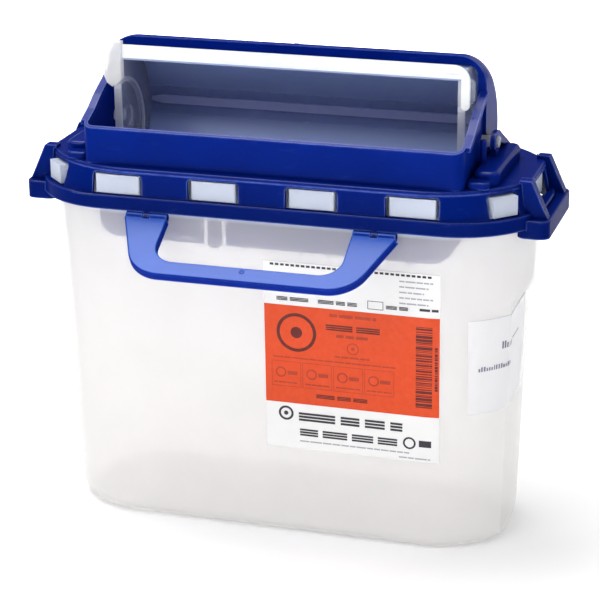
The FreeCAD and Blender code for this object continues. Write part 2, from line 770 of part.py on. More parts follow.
def carry_handle():
    """A flat U with two broad legs, built level and then tilted about its hinge."""
    outer = handle_outline(78.6, 62.0, 1.0, 42.6, 21.8)
    inner = handle_outline(53.2, 53.0, -8.0, 32.2, 12.0)
    plate = outer.extrude(V(0, 0, -HANDLE_THICK)).cut(
        inner.extrude(V(0, 0, -3 * HANDLE_THICK)).fuse(inner.extrude(V(0, 0, HANDLE_THICK))))
    top_rim = pick_edges(
        plate, lambda edge: level_at(HANDLE_ABOVE)(edge) and edge.BoundBox.YMin < -12)
    plate = plate.makeFillet(1.1, top_rim)
    side_room = 0.35
    swing_room = 0.5
    lug_room = LUG_WIDTH / 2 + side_room
    barrel_ends = ((lug_room, 12.0), (-12.0, -lug_room))
    knuckles = []
    for x in hinge_leg_centres():
        for near, far in barrel_ends:
            knuckles.append(rod_x(x + near, x + far, 0, 0, KNUCKLE_RADIUS))
        plate = plate.cut(rod_x(x - lug_room, x + lug_room, 0, 0, KNUCKLE_RADIUS + swing_room))
        plate = plate.cut(box(x - lug_room, x + lug_room, -1.0, 6, -12, 12))
        plate = plate.cut(rod_x(x - 30, x + 30, 0, 0, KNUCKLE_RADIUS - 0.3))
    handle = plate.fuse(knuckles)
    handle = handle.cut(box(-120, 120, KNUCKLE_RADIUS - 0.01, 20, -20, 20))
    for x in hinge_leg_centres():
        handle = handle.cut(rod_x(x - 30, x + 30, 0, 0, HINGE_PIN_RADIUS + RUNNING_GAP / 2))
    handle.rotate(V(0, 0, 0), V(1, 0, 0), HANDLE_TILT)
    handle.translate(V(0, HINGE_Y, HINGE_Z))
    return handle.removeSplitter()


def hinge_pin(side):
    x = hinge_leg_centres()[0 if side < 0 else 1]
    return rod_x(x - 11.6, x + 11.6, HINGE_Y, HINGE_Z, HINGE_PIN_RADIUS)


# ---------------------------------------------------------------- all the pieces

def all_pieces():
    bracket = end_bracket()
    pad = side_pad()
    gusset = bearing_bracket()
    pin = pivot_pin()
    return {
        "container_tub": container_tub(),
        "front_label": front_label(),
        "side_label": side_label(),
        "lid_deck": lid_deck(),
        "lid_skirt": lid_skirt(),
        "end_bracket_left": mirrored(bracket),
        "end_bracket_right": bracket,
        "hopper_housing": hopper_housing(),
        "rear_hood": rear_hood(),
        "side_pad_left": mirrored(pad),
        "side_pad_right": pad,
        "bearing_bracket_left": mirrored(gusset),
        "bearing_bracket_right": gusset,
        "inner_chute": inner_chute(),
        "front_guide_ramp": front_guide_ramp(),
        "tray_trough": tray_trough(),
        "tray_end_left": tray_end_left(),
        "tray_end_right": tray_end_right(),
        "tray_lip": tray_lip(),
        "tray_thumb_tab": tray_thumb_tab(),
        "counterbalance_bar": counterbalance_bar(),
        "pivot_pin_left": mirrored(pin),
        "pivot_pin_right": pin,
        "carry_handle": carry_handle(),
        "hinge_pin_left": hinge_pin(-1),
        "hinge_pin_right": hinge_pin(1),
    }


os.makedirs("parts", exist_ok=True)
for name, shape in all_pieces().items():
    bounds = shape.BoundBox
    print("%-22s solids %d valid %s volume %9.0f  x %.1f %.1f  y %.1f %.1f  z %.1f %.1f" % (
        name, len(shape.Solids), shape.isValid(), shape.Volume,
        bounds.XMin, bounds.XMax, bounds.YMin, bounds.YMax, bounds.ZMin, bounds.ZMax))
    shape.exportStep("parts/%s.step" % name)
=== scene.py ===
import math
import random

import bpy
from mathutils import Matrix, Vector
from mathutils.bvhtree import BVHTree


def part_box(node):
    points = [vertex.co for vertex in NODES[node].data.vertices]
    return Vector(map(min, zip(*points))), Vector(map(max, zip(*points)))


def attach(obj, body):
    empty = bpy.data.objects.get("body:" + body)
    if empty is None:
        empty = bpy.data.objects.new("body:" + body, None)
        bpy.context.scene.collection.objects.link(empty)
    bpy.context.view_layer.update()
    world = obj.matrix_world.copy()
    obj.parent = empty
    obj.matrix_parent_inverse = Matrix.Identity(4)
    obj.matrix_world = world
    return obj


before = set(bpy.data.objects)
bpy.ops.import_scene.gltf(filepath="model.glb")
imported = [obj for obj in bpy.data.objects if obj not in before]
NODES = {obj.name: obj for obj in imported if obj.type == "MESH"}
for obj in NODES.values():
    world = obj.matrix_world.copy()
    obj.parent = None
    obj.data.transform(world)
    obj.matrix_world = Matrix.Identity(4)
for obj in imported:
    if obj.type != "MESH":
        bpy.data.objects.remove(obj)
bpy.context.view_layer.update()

# A sharps container: a translucent tub with a printed label, a moulded blue lid
# with a hood and hopper, a translucent drop tray and a swinging front handle.
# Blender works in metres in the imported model's frame; MM turns millimetres into metres.

MM = 0.001
LID_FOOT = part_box("lid_skirt")[0].z

# ---- camera: where it looks, how far away it stands, its angles in degrees, its lens
CAMERA_TARGET = Vector((1.9, 0.0, 126.6)) * MM
CAMERA_DISTANCE = 1.258
CAMERA_AZIMUTH = 17.05
CAMERA_ELEVATION = 19.72
CAMERA_ROLL = -0.48
CAMERA_LENS = 129.8
CAMERA_SENSOR = 36.0
CAMERA_CLIP = (0.05, 20.0)

# ---- stage, in metres and watts
FLOOR_SIZE = 6.0
WORLD_STRENGTH = 0.50
LIGHT_AIM = (0.0, 0.0, 0.12)
LIGHTS = (  # name, place, aim, width and depth, power, spread in degrees
    ("overhead_softbox", (-0.40, 0.20, 1.70), LIGHT_AIM, (1.1, 0.9), 19.0, 180.0),
    ("left_key", (-1.1, -1.5, 1.3), LIGHT_AIM, (0.9, 0.9), 8.2, 180.0),
    ("right_fill", (1.8, -0.7, 0.7), LIGHT_AIM, (0.9, 0.9), 3.5, 180.0),
    ("front_wash", (0.0, -0.95, 1.5), (0.0, -0.95, 0.0), (1.3, 0.6), 15.0, 64.0),
    ("back_wash", (-0.1, 1.35, 1.2), (-0.1, 1.35, 0.0), (2.4, 1.5), 30.0, 80.0),
)

# ---- colours, linear red, green and blue
WHITE = (1.0, 1.0, 1.0)
BLUE = (0.0008, 0.0130, 0.185)
# pale edge tone of the blue parts: rub wear and a painted highlight
BLUE_WEAR_AND_HIGHLIGHT = (0.095, 0.150, 0.52)
# the chute's blue painted lighter: painted light from the glowing tub around it
CHUTE_LIT_BLUE = (0.001, 0.022, 0.24)
# handle: a painted lit top, the navy of its sides, and a painted highlight and wear tone for its
# edges
HANDLE_LIT_TOP = (0.008, 0.070, 0.42)
HANDLE_EDGE = (0.001, 0.014, 0.21)
HANDLE_WEAR_AND_HIGHLIGHT = (0.10, 0.20, 0.62)
TUB_WHITE = (0.984, 0.970, 0.955)
# painted shade for the tub's neck inside the lid
LUG_SHADE = (0.56, 0.615, 0.735)
TRAY_WHITE = (0.90, 0.92, 0.97)
LIP_WHITE = (0.92, 0.935, 0.93)
# painted bluish shade along the lip's edges
LIP_EDGE_SHADE = (0.62, 0.66, 0.74)
TAB_WHITE = (0.95, 0.945, 0.935)
# painted shade tinted with the hood's blue light, for the trough
TROUGH_HOOD_SHADE = (0.60, 0.72, 1.0)
# painted shade for the whitish bar under the lip
BAR_SHADE = (0.55, 0.58, 0.80)
ORANGE = (0.64, 0.062, 0.010)
INK = (0.035, 0.032, 0.040)
INK_ON_ORANGE = (0.11, 0.014, 0.010)
INK_FAINT = (0.36, 0.040, 0.014)
INK_GREY = (0.36, 0.36, 0.40)
INK_SIDE = (0.16, 0.16, 0.22)
FILM = (0.80, 0.795, 0.79)
SIDE_FILM = (0.77, 0.77, 0.79)
FLOOR_LIGHT = (0.90, 0.90, 0.905)
FLOOR_DARK = (0.885, 0.885, 0.89)

# ---- the raised ring on each of the tray's end plates, from the plate's front lower corner
RING_BACK = 9.2 * MM
RING_UP = 32.6 * MM
RING_RADIUS = 29.8 * MM

# ---- ink and moulded marks
FRONT_SEED = 11
SIDE_SEED = 5
FILM_LIFT = 0.06 * MM       # how far ink stands off bare film
PANEL_LIFT = 0.10 * MM      # and off film that the orange panel covers already
CAST_GAP = 50 * MM          # how far outside a skin a line starts that is dropped onto it
MARK_OUTER = 1.5 * MM
MARK_INNER = 0.9 * MM
MARK_HEIGHT = 0.28 * MM

BLUE_NODES = [
    "lid_deck", "lid_skirt", "end_bracket_left", "end_bracket_right", "hopper_housing",
    "rear_hood", "side_pad_left", "side_pad_right", "bearing_bracket_left",
    "bearing_bracket_right", "front_guide_ramp", "hinge_pin_left", "hinge_pin_right",
]


# ---------------------------------------------------------------- material helpers

def dimmed(colour, share):
    """The colour at that share of its brightness."""
    return tuple(share * c for c in colour)


class Graph:
    """A material's node tree with short ways to add and join nodes."""

    def __init__(self, name):
        self.material = bpy.data.materials.new(name)
        self.material.use_nodes = True
        self.tree = self.material.node_tree
        self.tree.nodes.clear()
        self.output = self.add("ShaderNodeOutputMaterial")
        coordinates = self.add("ShaderNodeTexCoord")
        self.place = coordinates.outputs["Object"]
        self.normal = coordinates.outputs["Normal"]

    def add(self, kind, **settings):
        node = self.tree.nodes.new(kind)
        for key, value in settings.items():
            setattr(node, key, value)
        return node

    def join(self, source, target):
        """Links an output to an input."""
        self.tree.links.new(source, target)

    def feed(self, value, socket):
        """Gives a socket a number or a colour, or joins another node's output to it."""
        if isinstance(value, tuple):
            socket.default_value = (*value, 1.0)
        elif isinstance(value, (int, float)):
            socket.default_value = value
        else:
            self.join(value, socket)

    def noise(self, size, detail, rough=0.5, stretch=(1, 1, 1)):
        """Noise whose features are about size metres across."""
        mapping = self.add("ShaderNodeMapping")
        mapping.inputs["Scale"].default_value = stretch
        self.join(self.place, mapping.inputs["Vector"])
        node = self.add("ShaderNodeTexNoise")
        node.inputs["Scale"].default_value = 1.0 / size
        node.inputs["Detail"].default_value = detail
        node.inputs["Roughness"].default_value = rough
        self.join(mapping.outputs[0], node.inputs["Vector"])
        return node.outputs["Fac"]

    def spread(self, value, low, high, out_low=0.0, out_high=1.0):
        """Stretches low to high over out_low to out_high, and holds it there."""
        node = self.add("ShaderNodeMapRange")
        node.inputs["From Min"].default_value = low
        node.inputs["From Max"].default_value = high
        node.inputs["To Min"].default_value = out_low
        node.inputs["To Max"].default_value = out_high
        self.join(value, node.inputs["Value"])
        return node.outputs["Result"]

    def vary(self, noise, low=0.0, high=1.0):
        """A value that wanders from low to high with the middle range of a noise."""
        return self.spread(noise, 0.3, 0.7, low, high)

    def axes(self, vector):
        """The X, Y and Z of a vector."""
        split = self.add("ShaderNodeSeparateXYZ")
        self.join(vector, split.inputs[0])
        return split.outputs

    def height(self):
        """The height above the floor, in metres."""
        return self.axes(self.place)["Z"]

    def maths(self, operation, a, b):
        """One sum with two numbers or outputs."""
        node = self.add("ShaderNodeMath", operation=operation)
        self.feed(a, node.inputs[0])
        self.feed(b, node.inputs[1])
        return node.outputs[0]

    def times(self, a, b):
        return self.maths("MULTIPLY", a, b)

    def plus(self, a, b):
        return self.maths("ADD", a, b)

    def blend(self, factor, a, b, mode="MIX"):
        """Colour a, with that share of colour b laid over it."""
        node = self.add("ShaderNodeMix", data_type="RGBA", blend_type=mode)
        self.feed(factor, node.inputs[0])
        self.feed(a, node.inputs[6])
        self.feed(b, node.inputs[7])
        return node.outputs[2]

    def bump(self, height, distance, strength, under=None):
        """Relief that is distance deep at full strength, laid over the relief under it."""
        node = self.add("ShaderNodeBump")
        node.inputs["Strength"].default_value = strength
        node.inputs["Distance"].default_value = distance
        self.join(height, node.inputs["Height"])
        if under is not None:
            self.join(under, node.inputs["Normal"])
        return node.outputs["Normal"]

    def grain(self, size, distance, strength):
        """The fine tooth that a mould or a varnish leaves on a skin."""
        return self.bump(self.noise(size, 2.0), distance, strength)

    def edge_mask(self, radius, samples=4):
        """Near 1 on convex and concave edges within radius, 0 on flat skin."""
        bevel = self.add("ShaderNodeBevel", samples=samples)
        bevel.inputs["Radius"].default_value = radius
        geometry = self.add("ShaderNodeNewGeometry")
        dot = self.add("ShaderNodeVectorMath", operation="DOT_PRODUCT")
        self.join(bevel.outputs[0], dot.inputs[0])
        self.join(geometry.outputs["Normal"], dot.inputs[1])
        return self.spread(dot.outputs["Value"], 0.99, 0.86)

    def openness(self, distance):
        """1 on open skin, less where other skin stands within that distance."""
        node = self.add("ShaderNodeAmbientOcclusion", samples=6)
        node.inputs["Distance"].default_value = distance
        return node.outputs["AO"]

    def edge_on(self):
        """0 where the skin faces the viewer, 1 where it is seen edge-on."""
        node = self.add("ShaderNodeLayerWeight")
        node.inputs["Blend"].default_value = 0.5
        return node.outputs["Facing"]

    def principled(self, colour, roughness, normal=None, **inputs):
        """The main shader; other inputs go by name, with underscores for spaces."""
        node = self.add("ShaderNodeBsdfPrincipled")
        self.feed(colour, node.inputs["Base Color"])
        self.feed(roughness, node.inputs["Roughness"])
        if normal is not None:
            self.join(normal, node.inputs["Normal"])
        for key, value in inputs.items():
            self.feed(value, node.inputs[key.replace("_", " ")])
        return node.outputs[0]

    def mix_shader(self, share, a, b):
        """Shader a, with that share of shader b in its place."""
        node = self.add("ShaderNodeMixShader")
        self.feed(share, node.inputs[0])
        self.join(a, node.inputs[1])
        self.join(b, node.inputs[2])
        return node.outputs[0]

    def see_through(self, skin, colour, glow_share, clear_share):
        """A skin that glows with light from behind it and lets part of the view through."""
        glow = self.add("ShaderNodeBsdfTranslucent")
        self.join(colour, glow.inputs["Color"])
        clear = self.add("ShaderNodeBsdfTransparent")
        body = self.mix_shader(glow_share, skin, glow.outputs[0])
        return self.mix_shader(clear_share, body, clear.outputs[0])

    def finish(self, shader):
        self.join(shader, self.output.inputs["Surface"])
        return self.material


# ---------------------------------------------------------------- materials

def blue_colour(g, base, side, rub_and_highlight_tone, scuff, faces_up, low_shade):
    """Cloudy pigment with painted shade low down and in creases, and pale edges that are partly
    rub wear and partly painted highlight.
    """
    cloud = g.spread(g.noise(30 * MM, 4.0), 0.35, 0.65, 0.0, 0.18)
    # painted light: where base and side differ, faces turned upwards take the lighter top tone
    colour = g.blend(cloud, g.blend(faces_up, side, base), WHITE, "SOFT_LIGHT")
    # painted shade: darker towards the lid's foot
    low_painted_shade = g.spread(g.height(), LID_FOOT + 5 * MM, LID_FOOT + 50 * MM, low_shade, 0.0)
    colour = g.blend(low_painted_shade, colour, dimmed(side, 0.2))
    openness = g.openness(5.0 * MM)
    # painted shade in creases and recesses, where other skin stands close
    crease_shade = g.spread(openness, 0.35, 0.85, 0.55, 0.0)
    colour = g.blend(crease_shade, colour, dimmed(side, 0.35))
    # pale edges: patchy rub wear, and a painted highlight on the convex edges
    rubbed = g.spread(g.noise(6 * MM, 5.0), 0.25, 0.65, 0.45, 1.0)
    edge_rub_and_highlight = g.times(g.edge_mask(1.5 * MM, 6), rubbed)
    edge_rub_and_highlight = g.times(edge_rub_and_highlight, g.spread(openness, 0.80, 0.95))
    colour = g.blend(g.times(edge_rub_and_highlight, 0.90), colour, rub_and_highlight_tone)
    return g.blend(g.times(scuff, 0.05), colour, rub_and_highlight_tone)


def blue_gloss(g, tilt, faces_up, sheen, side_sheen, shoulder_gloss):
    """How much coat the skin shows: more seen edge-on, and on shoulders that lean upwards."""
    gloss = g.spread(g.edge_on(), 0.25, 0.85, *sheen)
    gloss = g.times(gloss, g.spread(faces_up, 0.0, 1.0, side_sheen, 1.0))
    shoulder = g.times(g.spread(tilt, 0.30, 0.60), g.spread(tilt, 0.90, 0.98, 1.0, 0.0))
    return g.plus(gloss, g.times(shoulder, shoulder_gloss))


def blue_plastic(name, base, side, rub_and_highlight_tone, sheen, side_sheen=1.0, shoulder_gloss=0.0, low_shade=0.0):
    """Satin polypropylene with flow streaks: base on top, side on its sides (where they differ, a
    painted lit top), a pale edge tone of wear and painted highlight.
    """
    g = Graph(name)
    tilt = g.axes(g.normal)["Z"]
    faces_up = g.spread(tilt, 0.55, 0.75)
    scuff = g.spread(g.noise(10 * MM, 6.0, stretch=(1, 1, 3)), 0.60, 0.78)
    streak = g.noise(12 * MM, 2.0, stretch=(0.25, 1, 1))
    colour = blue_colour(g, base, side, rub_and_highlight_tone, scuff, faces_up, low_shade)
    roughness = g.plus(g.vary(streak, 0.32, 0.40), g.times(scuff, 0.07))
    grain = g.grain(0.45 * MM, 0.02 * MM, 0.35)
    ripple = g.bump(g.noise(16 * MM, 2.0), 0.25 * MM, 0.25, grain)
    gloss = blue_gloss(g, tilt, faces_up, sheen, side_sheen, shoulder_gloss)
    return g.finish(g.principled(
        colour, roughness, ripple, Specular_IOR_Level=0.0, Coat_Roughness=0.26, Coat_Weight=gloss))


def tub_plastic():
    """Milky polypropylene that lets light through and shows dark things close behind it."""
    g = Graph("tub_plastic")
    cloud = g.noise(40 * MM, 4.0)
    colour = g.blend(g.vary(cloud), TUB_WHITE, dimmed(TUB_WHITE, 0.992))
    # painted shade: above the lid's foot the tub turns a darker, bluish tone for the shade of the
    # lid over it
    in_lid = g.spread(g.height(), LID_FOOT + 1.5 * MM, LID_FOOT + 3.5 * MM)
    colour = g.blend(in_lid, colour, LUG_SHADE)
    scuff = g.spread(g.noise(14 * MM, 6.0, stretch=(1, 1, 0.4)), 0.60, 0.80)
    roughness = g.plus(g.vary(cloud, 0.30, 0.38), g.times(scuff, 0.15))
    grain = g.grain(0.6 * MM, 0.02 * MM, 0.30)
    wave = g.bump(g.noise(45 * MM, 2.0), 0.4 * MM, 0.15, grain)
    skin = g.principled(colour, roughness, wave, Specular_IOR_Level=0.35)
    glow_share = g.spread(in_lid, 0.0, 1.0, 0.55, 0.10)
    clear_share = g.times(g.vary(cloud, 0.51, 0.53), g.spread(in_lid, 0.0, 1.0, 1.0, 0.08))
    return g.finish(g.see_through(skin, colour, glow_share, clear_share))


def tray_plastic(name, clearness, colour, fade=None):
    """Thinner, glossier translucent plastic with faint flow lines along the tray."""
    g = Graph(name)
    cloud = g.noise(20 * MM, 3.0, stretch=(0.3, 1, 1))
    tint = g.blend(g.vary(cloud), colour, dimmed(colour, 0.95))
    scratch = g.spread(g.noise(4 * MM, 5.0, stretch=(0.08, 1, 1)), 0.62, 0.80)
    roughness = g.plus(g.vary(cloud, 0.24, 0.29), g.times(scratch, 0.05))
    wave = g.bump(cloud, 0.1 * MM, 0.1, g.grain(0.7 * MM, 0.02 * MM, 0.25))
    skin = g.principled(tint, roughness, wave, Specular_IOR_Level=0.5)
    glow_share = 0.35
    clear_share = g.vary(cloud, clearness - 0.01, clearness + 0.01)
    if fade:
        clear_share = g.times(clear_share, fade(g))
    return g.finish(g.see_through(skin, tint, glow_share, clear_share))


def milky_floor(g):
    """The trough is milkier near its floor and near its top, and clearest in between."""
    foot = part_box("tray_trough")[0].z
    floor_part = g.spread(g.height(), foot + 21 * MM, foot + 34 * MM, 0.25, 1.0)
    top_part = g.spread(g.height(), foot + 46 * MM, foot + 64 * MM, 1.0, 0.45)
    return g.times(floor_part, top_part)


def milky_ring(g):
    """The end plates' raised rings and front edges are thicker, so less light comes through."""
    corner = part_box("tray_end_left")[0]
    place = g.axes(g.place)
    along = g.maths("SUBTRACT", place["Y"], corner.y + RING_BACK)
    rise = g.maths("SUBTRACT", place["Z"], corner.z + RING_UP)
    reach = g.maths("POWER", g.plus(g.times(along, along), g.times(rise, rise)), 0.5)
    off_ring = g.maths("ABSOLUTE", g.maths("SUBTRACT", reach, RING_RADIUS), 0.0)
    ring_part = g.spread(off_ring, 1.2 * MM, 1.6 * MM, 0.55, 1.0)
    front_part = g.spread(place["Y"], corner.y + 1.2 * MM, corner.y + 2.0 * MM, 0.45, 1.0)
    return g.times(ring_part, front_part)


def lip_plastic():
    """Opaque bright white strip, glossy, with uneven gloss and painted bluish shade in patches
    along its edges.
    """
    g = Graph("lip_plastic")
    cloud = g.noise(15 * MM, 4.0, stretch=(0.4, 1, 1))
    colour = g.blend(g.vary(cloud), LIP_WHITE, dimmed(LIP_WHITE, 0.95))
    # painted shade: bluish grey in patches along the lip's edges
    edge_shade = g.times(g.edge_mask(0.5 * MM), g.spread(g.noise(5 * MM, 4.0), 0.4, 0.7))
    colour = g.blend(g.times(edge_shade, 0.18), colour, LIP_EDGE_SHADE)
    roughness = g.vary(g.noise(6 * MM, 5.0, stretch=(0.2, 1, 1)), 0.22, 0.34)
    grain = g.grain(0.7 * MM, 0.02 * MM, 0.25)
    return g.finish(g.principled(colour, roughness, grain, Specular_IOR_Level=0.5))


def label_film(name, white):
    """White printed film: slightly uneven white, satin varnish and tiny paper tooth."""
    g = Graph(name)
    colour = g.blend(g.vary(g.noise(18 * MM, 4.0)), white, dimmed(white, 0.975))
    roughness = g.vary(g.noise(8 * MM, 5.0), 0.36, 0.46)
    tooth = g.grain(0.5 * MM, 0.01 * MM, 0.3)
    return g.finish(g.principled(colour, roughness, tooth, Specular_IOR_Level=0.4))


def ink(name, colour, strength=0.12):
    """Printed ink: a little mottled, with patches of a lighter tone."""
    g = Graph(name)
    mottle = g.spread(g.noise(3.5 * MM, 6.0, 0.6), 0.35, 0.72)
    lighter = tuple(min(1.0, c * (1 + strength) + 0.01) for c in colour)
    tone = g.blend(mottle, colour, lighter)
    roughness = g.vary(g.noise(6 * MM, 4.0), 0.34, 0.44)
    tooth = g.grain(0.6 * MM, 0.01 * MM, 0.2)
    return g.finish(g.principled(tone, roughness, tooth, Specular_IOR_Level=0.2))


def floor_surface():
    """Plain studio floor, a touch uneven."""
    g = Graph("studio_floor")
    cloud = g.noise(0.35, 3.0)
    colour = g.blend(g.vary(cloud), FLOOR_LIGHT, FLOOR_DARK)
    roughness = g.vary(cloud, 0.55, 0.62)
    return g.finish(g.principled(colour, roughness, Specular_IOR_Level=0.2))


# ---------------------------------------------------------------- mesh helpers

def mesh_piece(name, verts, faces, material, body):
    """A piece made from corners and faces, with its material, riding on a body."""
    mesh = bpy.data.meshes.new(name)
    mesh.from_pydata([tuple(v) for v in verts], [], faces)
    mesh.update()
    piece = bpy.data.objects.new(name, mesh)
    bpy.context.scene.collection.objects.link(piece)
    piece.data.materials.append(material)
    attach(piece, body)
    return piece


def dress(node, material):
    """Gives a CAD node its one material."""
    piece = NODES[node]
    if not piece.material_slots:
        piece.data.materials.append(material)
    for place in piece.material_slots:
        place.link = "OBJECT"
        place.material = material


def skin_of(node):
    """A CAD node's skin, ready for lines to be dropped onto it."""
    mesh = NODES[node].data
    corners = [v.co.copy() for v in mesh.vertices]
    return BVHTree.FromPolygons(corners, [tuple(p.vertices) for p in mesh.polygons])


# ---------------------------------------------------------------- flat shapes for print

def strip(u0, u1, v0, v1, step=6.0):
    """A rectangle cut into short lengths so that it follows the curve of the film."""
    count = max(1, math.ceil((u1 - u0) / step))
    edges = [u0 + (u1 - u0) * i / count for i in range(count + 1)]
    return [[(a, v0), (b, v0), (b, v1), (a, v1)] for a, b in zip(edges, edges[1:])]


def frame_lines(u0, u1, v0, v1, thick):
    """The four lines around a box."""
    return (
        strip(u0, u1, v0, v0 + thick) + strip(u0, u1, v1 - thick, v1)
        + strip(u0, u0 + thick, v0, v1) + strip(u1 - thick, u1, v0, v1)
    )


def around(u, v, radius, angle):
    """The point at that angle on a circle."""
    return (u + radius * math.cos(angle), v + radius * math.sin(angle))


def ring(u, v, outer, inner, sides=36):
    """A round line."""
    shapes = []
    for i in range(sides):
        a, b = (math.tau * (i + k) / sides for k in (0, 1))
        shapes.append([
            around(u, v, inner, a), around(u, v, outer, a),
            around(u, v, outer, b), around(u, v, inner, b),
        ])
    return shapes


def ringed_dot(u, v, outer, inner, dot, sides=28):
    """A round line with a filled dot in its middle."""
    edge = [around(u, v, dot, math.tau * i / sides) for i in range(sides)]
    return ring(u, v, outer, inner) + [edge]


def dashes(u0, u1, v, length, gap, thick):
    """A level broken line."""
    shapes = []
    u = u0
    while u + length <= u1:
        shapes += strip(u, u + length, v, v + thick)
        u += length + gap
    return shapes


def stand_in_words(rng, lines):
    """Bars as long as words standing in for lines of print; big print is stacked rules.

    A line is its left end, right end, foot, height, and word length in heights.
    """
    big_print = 2.9
    rule_pitch = 1.4
    filled = 0.68
    word_gap = 0.42
    shapes = []
    for left, right, foot, size, word in lines:
        rules = 3 if size > big_print else 1
        rule = filled * size / (rule_pitch * (rules - 1) + 1)
        u = left
        while u < right - 0.5 * size:
            end = min(right, u + rng.uniform(0.5, 1.1) * word * size)
            for index in range(rules):
                low = foot + rule_pitch * rule * index
                shapes += strip(u, end, low, low + rule)
            u = end + word_gap * size
    return shapes


def bar_strip(rng, u0, u1, v0, v1):
    """Stacked level bars of uneven height and spacing."""
    shapes = []
    v = v0
    while v < v1 - 0.3:
        tall = rng.choice((0.4, 0.7, 1.1, 1.6))
        shapes += strip(u0, u1, v, min(v1, v + tall))
        v += tall + rng.choice((0.3, 0.45, 0.75))
    return shapes


def pictogram_boxes(rng):
    """Four ruled boxes in a row, each with a ring, a short bar and a line of small print."""
    count, first, pitch = 4, 4.0, 18.0
    wide, foot, top, rule = 17.2, 38.0, 53.4, 0.30
    shapes = []
    for index in range(count):
        left = first + index * pitch
        shapes += frame_lines(left, left + wide, foot, top, rule)
        shapes += ring(left + 5.4, 46.6, 3.2, 2.3, 20)
        shapes += strip(left + 9.2, left + 15.0, 45.4, 47.6)
        shapes += stand_in_words(rng, [(left + 1.5, left + 15.6, 40.0, 1.2, 3.0)])
    return shapes


# ---------------------------------------------------------------- the printed labels

class Printer:
    """Lays inked shapes on the front label, in millimetres from its lower left corner."""

    def __init__(self):
        self.low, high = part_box("front_label")
        self.width = (high.x - self.low.x) / MM
        self.skin = skin_of("front_label")

    def on_film(self, u, v, lift):
        """The point on the label's face at u, v, standing off by lift."""
        x = self.low.x + u * MM
        z = self.low.z + v * MM
        start = Vector((x, self.low.y - CAST_GAP, z))
        hit, normal, _, _ = self.skin.ray_cast(start, Vector((0, 1, 0)))
        if hit is None:
            hit, normal = Vector((x, self.low.y, z)), Vector((0, -1, 0))
        if normal.y > 0:
            normal = -normal
        return hit + normal * lift

    def lay(self, shapes, name, material, lift):
        """Makes one piece of print from shapes that are lists of u, v corners."""
        verts, faces = [], []
        for outline in shapes:
            start = len(verts)
            verts += [self.on_film(u, v, lift) for u, v in outline]
            faces.append(list(range(start, start + len(outline))))
        return mesh_piece(name, verts, faces, material, "container")


def print_front_label(inks):
    """The orange panel, then the dark, faint, black and grey print of the front label."""
    printer = Printer()
    rng = random.Random(FRONT_SEED)
    margin, panel_foot, panel_top, panel_step = 0.2, 28.0, 87.3, 4.0
    panel = strip(margin, printer.width - margin, panel_foot, panel_top, panel_step)
    printer.lay(panel, "label_orange_panel", inks["orange"], FILM_LIFT)

    # on the panel: a large round symbol, a heading above, one below, and bars at the right edge
    dark = ringed_dot(18.8, 71.3, 11.6, 9.7, 3.4)
    dark += stand_in_words(rng, [
        (36.0, 67.0, 74.6, 5.0, 4.0), (30.0, 62.0, 32.6, 3.4, 3.0),
    ])
    dark += bar_strip(rng, 87.5, 96.8, 33.5, 82.0)
    dark += bar_strip(rng, 98.2, 99.8, 44.0, 70.0)
    printer.lay(dark, "label_panel_print", inks["on_orange"], PANEL_LIFT)

    # on the panel: a small round symbol, lines of smaller print and the pictogram boxes
    faint = ringed_dot(51.5, 64.6, 3.5, 2.9, 1.0)
    faint += stand_in_words(rng, [
        (38.0, 65.0, 82.6, 2.6, 3.5), (42.0, 62.0, 70.6, 2.6, 3.0),
        (41.0, 61.0, 58.6, 1.5, 4.0), (5.0, 76.0, 55.4, 1.2, 5.0),
    ])
    faint += pictogram_boxes(rng)
    printer.lay(faint, "label_panel_faint_print", inks["faint"], PANEL_LIFT)

    # off the panel: headings over it, two large lines under it with symbols beside them,
    # and a broken line along the top
    black = stand_in_words(rng, [
        (7.5, 26.0, 90.0, 3.2, 3.2), (31.5, 54.0, 90.0, 3.2, 3.0),
        (70.5, 83.0, 90.4, 3.0, 3.2), (89.5, 100.0, 91.0, 2.2, 4.0),
        (19.5, 80.0, 17.6, 7.6, 2.6), (20.0, 77.0, 8.4, 6.4, 2.4),
    ])
    black += frame_lines(60.0, 69.0, 89.4, 94.4, 0.35)
    black += dashes(4.0, 98.5, 110.4, 2.1, 0.9, 1.3)
    black += ringed_dot(12.0, 21.6, 4.4, 3.1, 1.3)
    black += ring(84.0, 11.2, 3.7, 2.6)
    black += strip(89.5, 96.5, 9.4, 13.4)
    printer.lay(black, "label_black_print", inks["black"], FILM_LIFT)

    # small print along the foot and in the upper right corner
    small, rows, pitch = 1.3, 5, 3.2
    corner_lines = [
        (78.0, 97.0 - 2.5 * (row % 3), 107.0 - pitch * row, small, 4.0) for row in range(rows)
    ]
    grey = stand_in_words(rng, [
        (20.0, 84.0, 4.6, small, 5.0), (78.0, 96.0, 1.6, small, 5.0), *corner_lines,
    ])
    printer.lay(grey, "label_grey_print", inks["grey"], FILM_LIFT)


